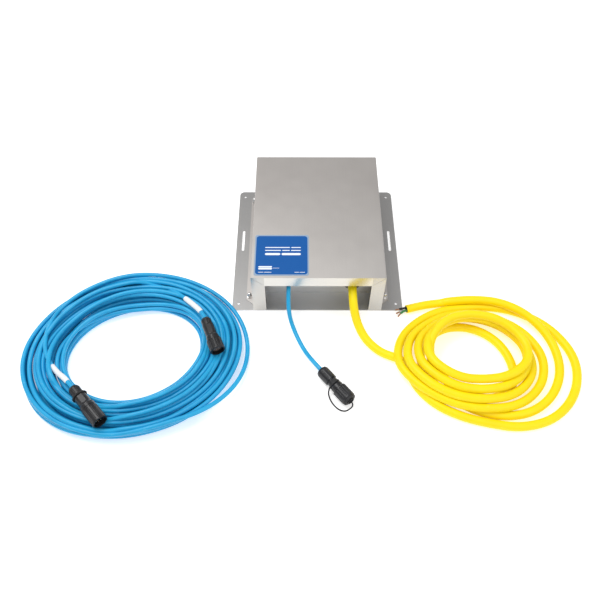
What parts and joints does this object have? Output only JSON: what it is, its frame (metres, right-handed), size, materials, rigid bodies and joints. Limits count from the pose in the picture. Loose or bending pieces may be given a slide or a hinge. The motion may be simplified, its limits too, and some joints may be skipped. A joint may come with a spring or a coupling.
{
  "type": "wall-mount intrinsically safe power supply",
  "caption": "Stainless wall-mount power supply box with an open cable end, a capped low-voltage pigtail, a heavy mains cable and a coiled extension cable with a connector at each end.",
  "frame": {"origin": "centre of the back plate's underside", "axes": "+Z away from the wall, -Y towards the open cable end, +X to the right when seen from the open end with the plate down"},
  "size_m": [0.9507, 0.5436, 0.0993],
  "materials": {
    "stainless": "brushed stainless sheet",
    "bright_nuts": "bright plated",
    "label": "printed polyester label",
    "black_plastic": "moulded nylon",
    "black_rubber": "moulded rubber",
    "blue_cable": "smooth extruded jacket",
    "yellow_cable": "smooth extruded jacket",
    "white_sleeve": "heat-shrink sleeve",
    "core_black": "wire insulation",
    "core_white": "wire insulation",
    "core_green": "wire insulation",
    "zinc": "zinc plated",
    "board": "solder mask",
    "parts": "electronic parts",
    "core_steel": "laminated steel",
    "tape": "winding tape",
    "glass": "fuse glass",
    "brass": "bare brass",
    "grey_plastic": "moulded nylon"
  },
  "bodies": {
    "box": {"acorn_nuts": "bright_nuts", "back_plate": "stainless", "barrier_board": "board", "barrier_parts": "parts", "board_standoffs": "brass", "board_terminals": "grey_plastic", "bulkhead": "stainless", "bulkhead_screws": "zinc", "cap_tether": "black_rubber", "cover": "stainless", "extension_coil": "blue_cable", "extension_leads": "blue_cable", "free_conductors": "core_black", "fuse": "glass", "fuse_holder": "brass", "gland_locknuts": "black_plastic", "gland_seals": "black_rubber", "ground_lug": "brass", "ground_nut": "zinc", "ground_wire": "core_green", "label_plate": "label", "link_wires": "core_black", "live_wire": "core_black", "mains_cable": "yellow_cable", "mains_coil": "yellow_cable", "mains_gland_body": "black_plastic", "mains_gland_nut": "black_plastic", "marker_sleeves": "white_sleeve", "neutral_wire": "core_white", "nut_washers": "bright_nuts", "pigtail_back_nut": "black_plastic", "pigtail_body": "black_plastic", "pigtail_cable": "blue_cable", "pigtail_contacts": "brass", "pigtail_cores": "core_white", "pigtail_gland_body": "black_plastic", "pigtail_gland_nut": "black_plastic", "pigtail_insert": "grey_plastic", "plate_studs": "bright_nuts", "plug_back_nut": "black_plastic", "plug_body": "black_plastic", "plug_contacts": "brass", "plug_insert": "grey_plastic", "plug_seal_ring": "black_rubber", "small_screws": "zinc", "socket_back_nut": "black_plastic", "socket_body": "black_plastic", "socket_contacts": "brass", "socket_insert": "grey_plastic", "supply_case": "zinc", "supply_lid": "zinc", "supply_terminals": "grey_plastic", "tether_collar": "black_rubber", "transformer_coil": "tape", "transformer_core": "core_steel"},
    "pigtail_ring": {"pigtail_coupling_ring": "black_plastic"},
    "plug_ring": {"plug_coupling_ring": "black_plastic"},
    "socket_ring": {"socket_coupling_ring": "black_plastic"},
    "cap": {"dust_cap": "black_rubber"}
  },
  "joints": [
    {"name": "pigtail_ring_turn", "type": "hinge", "parent": "box", "child": "pigtail_ring", "pos_m": [0.04119, -0.31797, 0.0132], "axis": [0.6364, -0.7714, 0], "continuous": true},
    {"name": "plug_ring_turn", "type": "hinge", "parent": "box", "child": "plug_ring", "pos_m": [-0.35399, -0.36804, 0.0374], "axis": [0.6755, -0.7374, 0], "continuous": true},
    {"name": "socket_ring_turn", "type": "hinge", "parent": "box", "child": "socket_ring", "pos_m": [-0.1727, -0.24016, 0.0374], "axis": [0.3868, -0.9221, 0], "continuous": true},
    {"name": "cap_pull", "type": "slide", "parent": "box", "child": "cap", "axis": [0.6364, -0.7714, 0], "range_m": [0, 0.012], "deforming": ["cap_tether"]}
  ]
}
